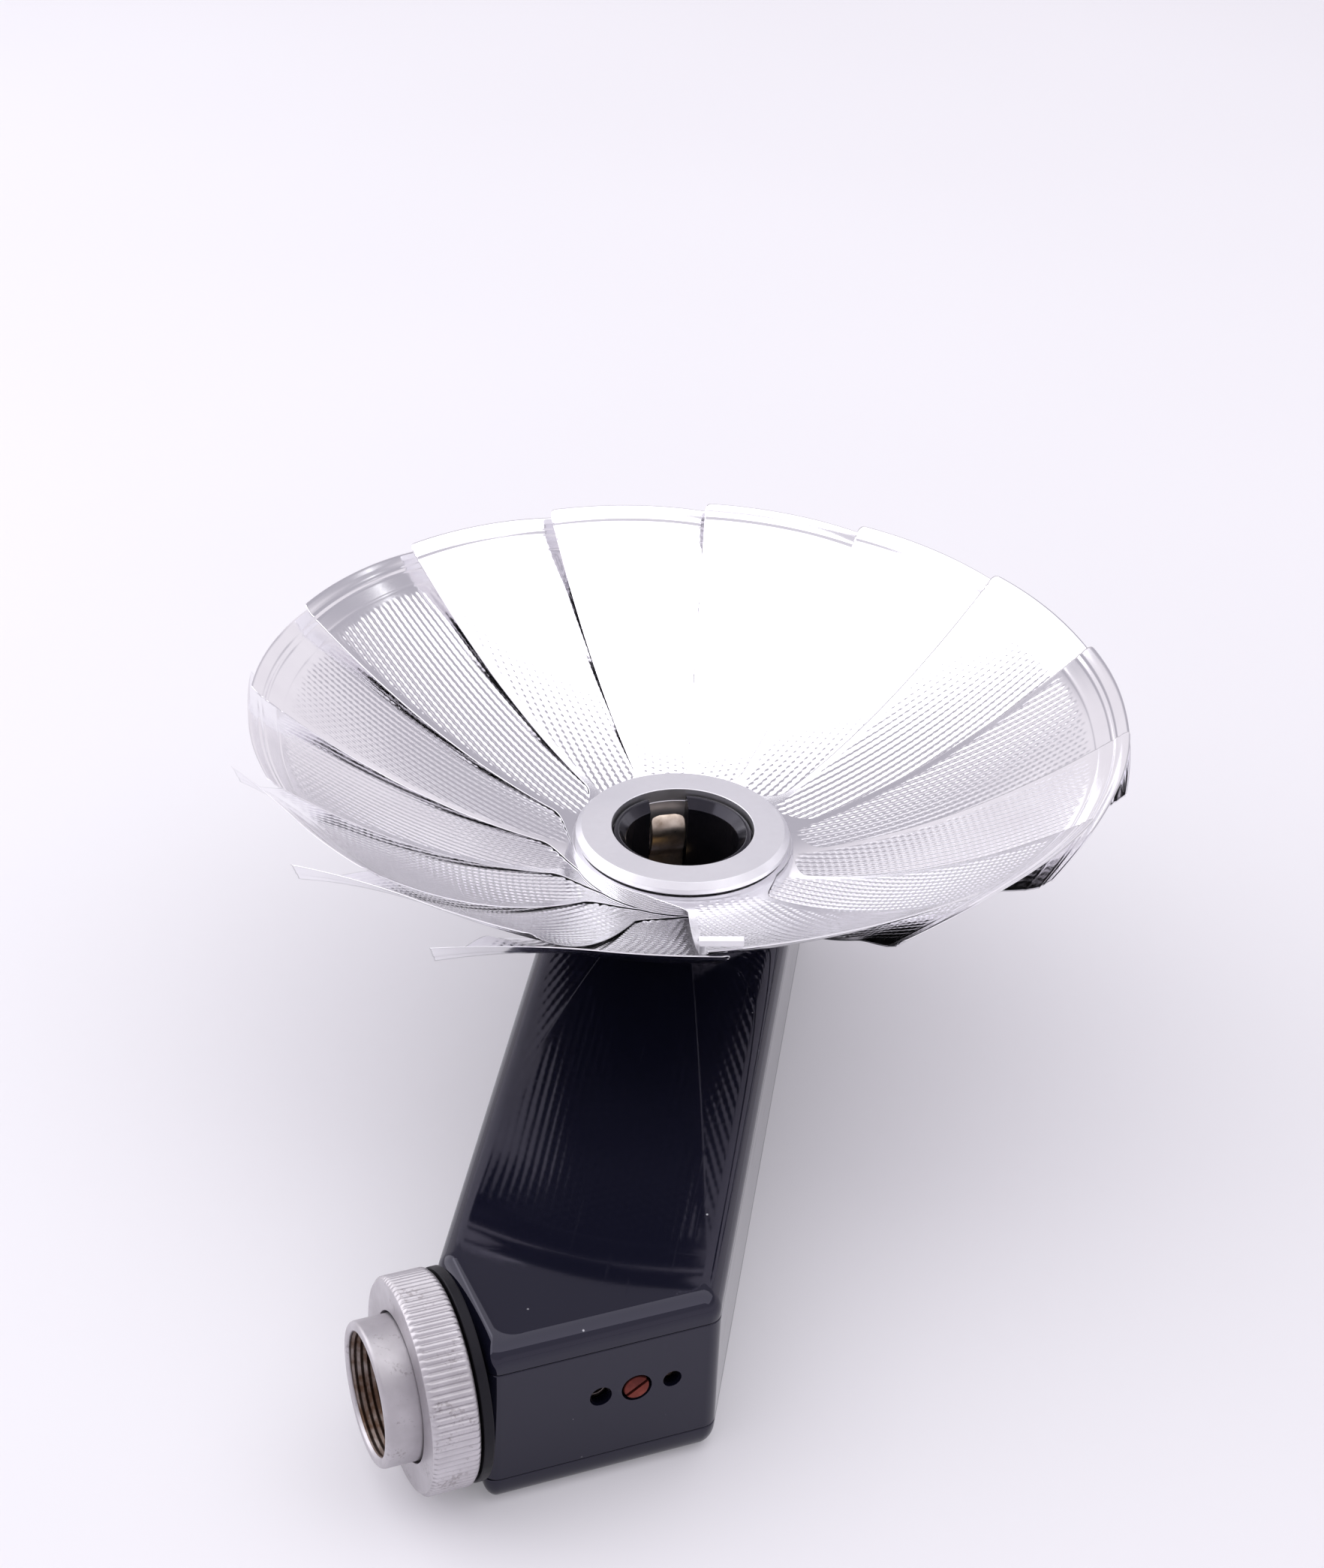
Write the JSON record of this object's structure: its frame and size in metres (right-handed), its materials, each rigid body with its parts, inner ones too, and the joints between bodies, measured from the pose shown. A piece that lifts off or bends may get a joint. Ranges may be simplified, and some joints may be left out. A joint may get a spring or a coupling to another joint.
{
  "type": "flash bulb gun",
  "caption": "Slim black flash bulb gun with a folding fan reflector of nested aluminium blades, bulb socket, oblique camera connector with knurled locking ring and battery door.",
  "frame": {"origin": "where the lamp axis of the bulb socket meets the flat back of the body", "axes": "+Z out of the front face along the lamp axis, +Y up the body away from the camera connector, +X to the right seen from the front"},
  "size_m": [0.1198, 0.1668, 0.0507],
  "materials": {
    "reflector": "bright embossed sheet",
    "satin_aluminium": "satin",
    "spring_steel": "bright",
    "brass": "worn",
    "bronze": "worn bronze",
    "bakelite": "glossy",
    "phenolic": "laminate",
    "gloss_black": "gloss enamel",
    "battery_wrap": "printed wrap without print",
    "copper_screw": "copper red",
    "matt_black": "matt",
    "lead_rubber": "matt"
  },
  "bodies": {
    "gun_body": {"back_shell": "gloss_black", "battery": "battery_wrap", "battery_contact_lower": "bronze", "battery_contact_upper": "bronze", "blade_01": "reflector", "body_shell": "gloss_black", "bulb_side_contact": "bronze", "button_guide": "phenolic", "capacitor": "reflector", "centre_contact_spring": "spring_steel", "chassis_plate": "phenolic", "connector_collar": "matt_black", "connector_core": "brass", "connector_insulator": "bakelite", "connector_pin_spring": "spring_steel", "door_hinge_pin": "spring_steel", "eject_spring": "spring_steel", "fan_seat": "satin_aluminium", "fan_spring_washer": "spring_steel", "front_cover": "gloss_black", "front_cover_frame": "gloss_black", "hub_nut": "brass", "hub_ring": "satin_aluminium", "hub_sleeve": "satin_aluminium", "lead_connector": "lead_rubber", "lead_left": "lead_rubber", "lead_right": "lead_rubber", "outlet_block": "bakelite", "outlet_screw": "copper_screw", "outlet_sleeve_left": "brass", "outlet_sleeve_right": "brass", "resistor": "phenolic", "rocker_bracket": "spring_steel", "rocker_pin": "spring_steel", "socket_liner": "bakelite", "terminal_board": "phenolic"},
    "blade_02": {"blade_02": "reflector"},
    "blade_03": {"blade_03": "reflector"},
    "blade_04": {"blade_04": "reflector"},
    "blade_05": {"blade_05": "reflector"},
    "blade_06": {"blade_06": "reflector"},
    "blade_07": {"blade_07": "reflector"},
    "blade_08": {"blade_08": "reflector"},
    "blade_09": {"blade_09": "reflector"},
    "blade_10": {"blade_10": "reflector"},
    "blade_11": {"blade_11": "reflector"},
    "blade_12": {"blade_12": "reflector"},
    "blade_13": {"blade_13": "reflector"},
    "blade_14": {"blade_14": "reflector"},
    "front_blade": {"blade_15": "reflector", "fan_latch": "satin_aluminium"},
    "ejector_button": {"eject_button": "gloss_black"},
    "ejector_rocker": {"eject_rocker": "spring_steel"},
    "ejector_pin": {"eject_pin": "brass"},
    "centre_contact": {"bulb_centre_contact": "brass"},
    "battery_cover": {"battery_door": "gloss_black"},
    "camera_contact": {"connector_pin": "bronze"},
    "lock_ring": {"locking_ring": "satin_aluminium", "threaded_sleeve": "satin_aluminium"}
  },
  "joints": [
    {"name": "fan_fold", "type": "hinge", "parent": "gun_body", "child": "front_blade", "pos_m": [0, 0, 0.027], "axis": [0, 0, 1], "range_deg": [0, 327.6]},
    {"name": "blade_02_fold", "type": "hinge", "parent": "gun_body", "child": "blade_02", "pos_m": [0, 0, 0.02433], "axis": [0, 0, 1], "range_deg": [0, 23.6]},
    {"name": "blade_03_fold", "type": "hinge", "parent": "gun_body", "child": "blade_03", "pos_m": [0, 0, 0.02453], "axis": [0, 0, 1], "range_deg": [0, 47]},
    {"name": "blade_04_fold", "type": "hinge", "parent": "gun_body", "child": "blade_04", "pos_m": [0, 0, 0.02473], "axis": [0, 0, 1], "range_deg": [0, 70.4]},
    {"name": "blade_05_fold", "type": "hinge", "parent": "gun_body", "child": "blade_05", "pos_m": [0, 0, 0.02493], "axis": [0, 0, 1], "range_deg": [0, 93.8]},
    {"name": "blade_06_fold", "type": "hinge", "parent": "gun_body", "child": "blade_06", "pos_m": [0, 0, 0.02513], "axis": [0, 0, 1], "range_deg": [0, 117.2]},
    {"name": "blade_07_fold", "type": "hinge", "parent": "gun_body", "child": "blade_07", "pos_m": [0, 0, 0.02533], "axis": [0, 0, 1], "range_deg": [0, 140.6]},
    {"name": "blade_08_fold", "type": "hinge", "parent": "gun_body", "child": "blade_08", "pos_m": [0, 0, 0.02553], "axis": [0, 0, 1], "range_deg": [0, 164]},
    {"name": "blade_09_fold", "type": "hinge", "parent": "gun_body", "child": "blade_09", "pos_m": [0, 0, 0.02573], "axis": [0, 0, 1], "range_deg": [0, 187.4]},
    {"name": "blade_10_fold", "type": "hinge", "parent": "gun_body", "child": "blade_10", "pos_m": [0, 0, 0.02593], "axis": [0, 0, 1], "range_deg": [0, 210.8]},
    {"name": "blade_11_fold", "type": "hinge", "parent": "gun_body", "child": "blade_11", "pos_m": [0, 0, 0.02613], "axis": [0, 0, 1], "range_deg": [0, 234.2]},
    {"name": "blade_12_fold", "type": "hinge", "parent": "gun_body", "child": "blade_12", "pos_m": [0, 0, 0.02633], "axis": [0, 0, 1], "range_deg": [0, 257.6]},
    {"name": "blade_13_fold", "type": "hinge", "parent": "gun_body", "child": "blade_13", "pos_m": [0, 0, 0.02653], "axis": [0, 0, 1], "range_deg": [0, 281]},
    {"name": "blade_14_fold", "type": "hinge", "parent": "gun_body", "child": "blade_14", "pos_m": [0, 0, 0.02673], "axis": [0, 0, 1], "range_deg": [0, 304.4]},
    {"name": "eject_press", "type": "slide", "parent": "gun_body", "child": "ejector_button", "axis": [0, 0, -1], "range_m": [0, 0.0012], "stiffness_N_per_m": 400, "springref_m": -0.0004, "deforming": ["eject_spring"]},
    {"name": "eject_rock", "type": "hinge", "parent": "gun_body", "child": "ejector_rocker", "pos_m": [0, -0.0124, 0.0105], "axis": [1, 0, 0], "range_deg": [0, 10.4]},
    {"name": "eject_lift", "type": "slide", "parent": "gun_body", "child": "ejector_pin", "axis": [0, 0, 1], "range_m": [0, 0.0013]},
    {"name": "centre_contact_press", "type": "slide", "parent": "gun_body", "child": "centre_contact", "axis": [0, 0, -1], "range_m": [0, 0.002], "stiffness_N_per_m": 300, "springref_m": -0.0006, "deforming": ["centre_contact_spring"]},
    {"name": "battery_door_hinge", "type": "hinge", "parent": "gun_body", "child": "battery_cover", "pos_m": [0, -0.0256, 0.0013], "axis": [1, 0, 0], "range_deg": [0, 100]},
    {"name": "camera_contact_press", "type": "slide", "parent": "gun_body", "child": "camera_contact", "axis": [0.866, 0.5, 0], "range_m": [0, 0.0012], "stiffness_N_per_m": 300, "springref_m": -0.0006, "deforming": ["connector_pin_spring"]},
    {"name": "locking_ring_turn", "type": "hinge", "parent": "gun_body", "child": "lock_ring", "pos_m": [-0.01575, -0.09484, 0.0126], "axis": [-0.866, -0.5, 0], "continuous": true}
  ],
  "couplings": [
    {"joint": "blade_02_fold", "follows": "fan_fold", "ratio": 0.071429},
    {"joint": "blade_03_fold", "follows": "fan_fold", "ratio": 0.14286},
    {"joint": "blade_04_fold", "follows": "fan_fold", "ratio": 0.21429},
    {"joint": "blade_05_fold", "follows": "fan_fold", "ratio": 0.28571},
    {"joint": "blade_06_fold", "follows": "fan_fold", "ratio": 0.35714},
    {"joint": "blade_07_fold", "follows": "fan_fold", "ratio": 0.42857},
    {"joint": "blade_08_fold", "follows": "fan_fold", "ratio": 0.5},
    {"joint": "blade_09_fold", "follows": "fan_fold", "ratio": 0.57143},
    {"joint": "blade_10_fold", "follows": "fan_fold", "ratio": 0.64286},
    {"joint": "blade_11_fold", "follows": "fan_fold", "ratio": 0.71429},
    {"joint": "blade_12_fold", "follows": "fan_fold", "ratio": 0.78571},
    {"joint": "blade_13_fold", "follows": "fan_fold", "ratio": 0.85714},
    {"joint": "blade_14_fold", "follows": "fan_fold", "ratio": 0.92857},
    {"joint": "eject_rock", "follows": "eject_press", "rad_per_m": 150},
    {"joint": "eject_lift", "follows": "eject_press", "ratio": 1}
  ]
}
